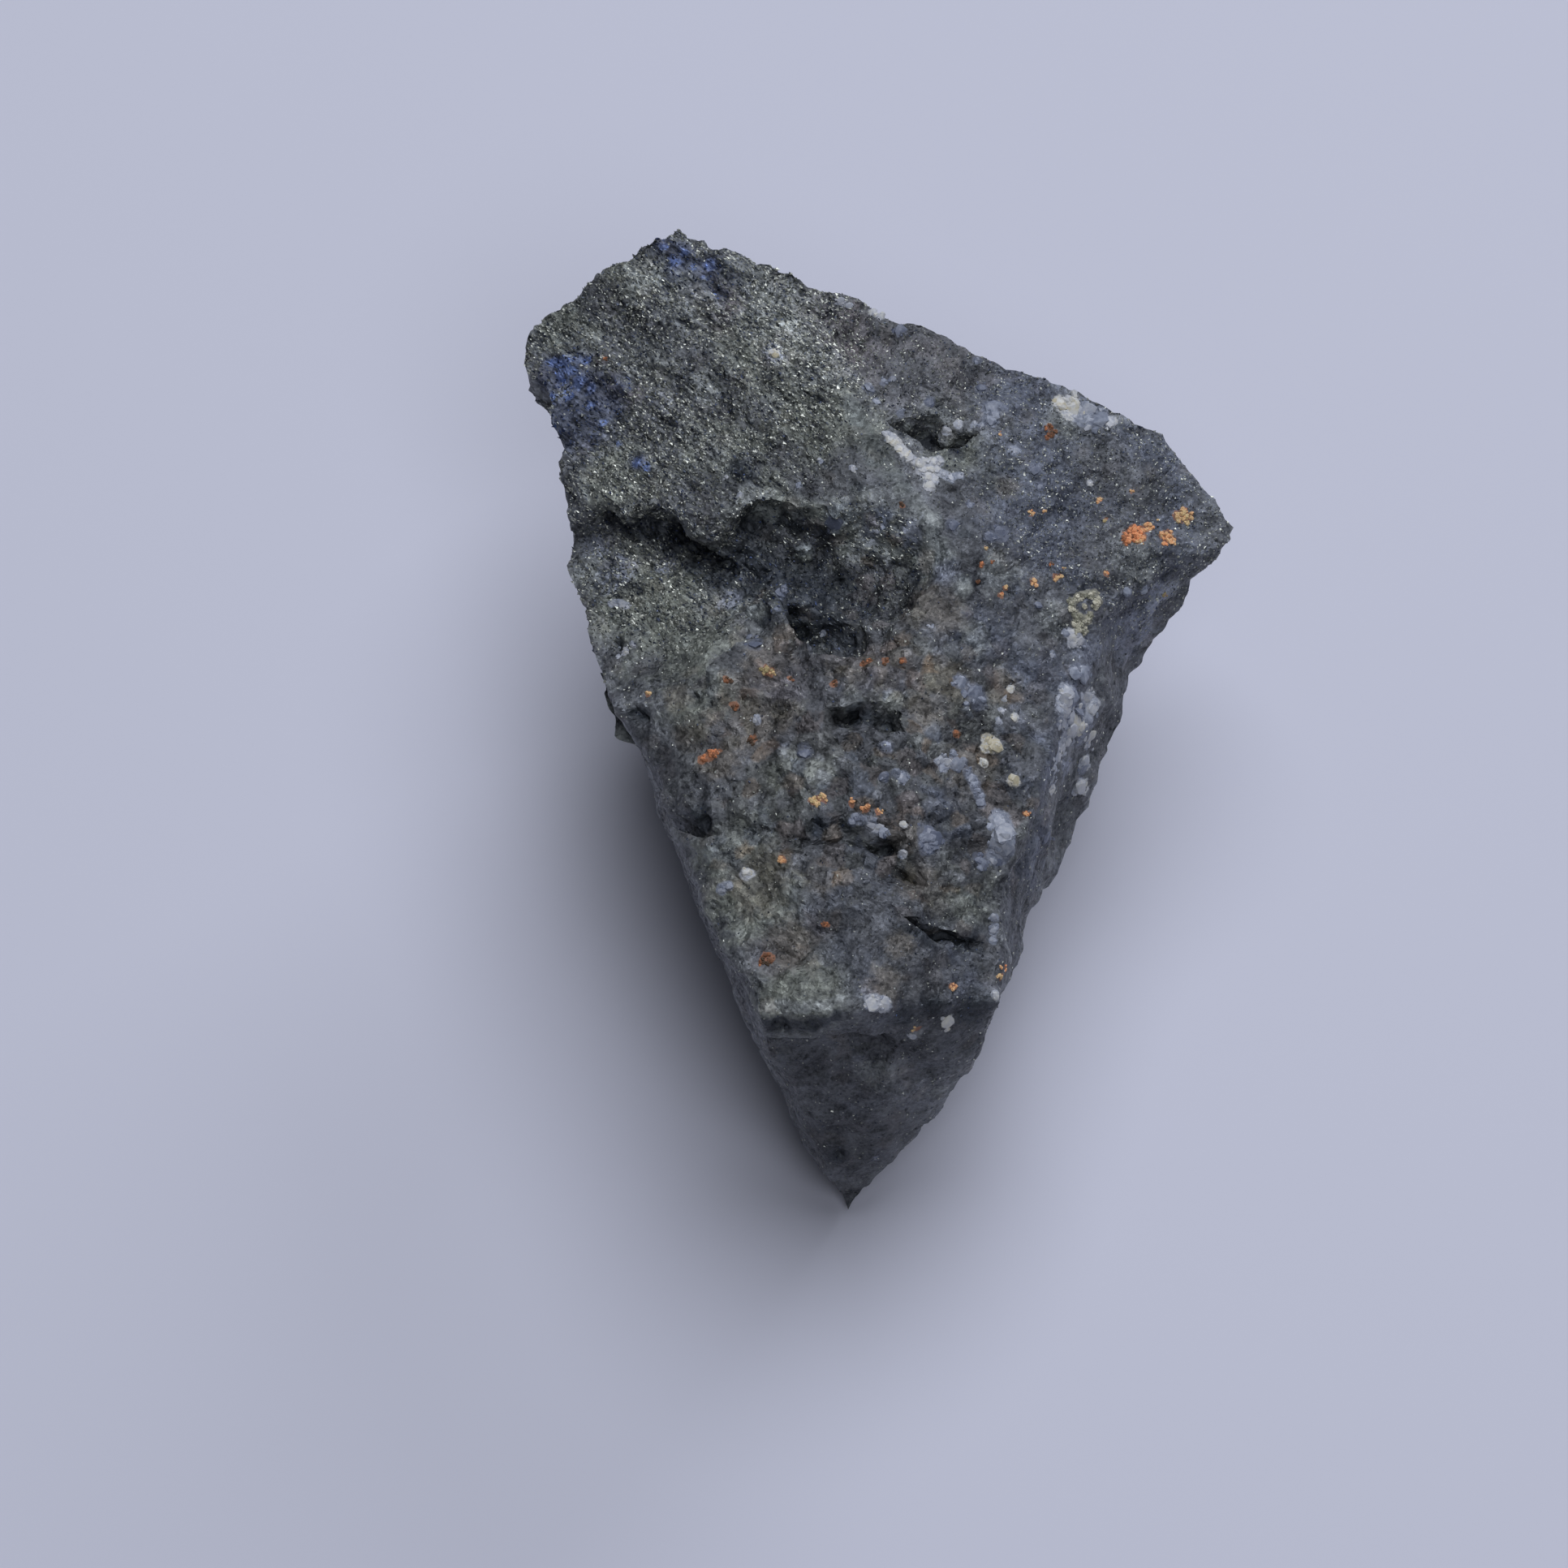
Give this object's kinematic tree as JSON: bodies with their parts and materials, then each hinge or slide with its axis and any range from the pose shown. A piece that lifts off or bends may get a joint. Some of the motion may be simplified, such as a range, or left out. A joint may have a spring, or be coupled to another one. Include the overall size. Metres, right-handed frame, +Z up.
{
  "type": "arsenopyrite specimen",
  "caption": "Broken wedge-shaped chip of fine-grained arsenopyrite ore with ledges, a hollow and small quartz grains, resting on a small flat spot.",
  "frame": {"origin": "on the surface the chip rests on, under the middle of its bounding box", "axes": "+Z up, +Y from the pointed front to the broad back, +X to the right seen from the front"},
  "size_m": [0.0218, 0.0274, 0.0143],
  "materials": {
    "ore": "fine-grained dark grey-green sulphide with a sugary metallic glint, spots of rust, white quartz grains and blue tarnish"
  },
  "bodies": {
    "root": {"specimen": "ore"}
  },
  "joints": []
}
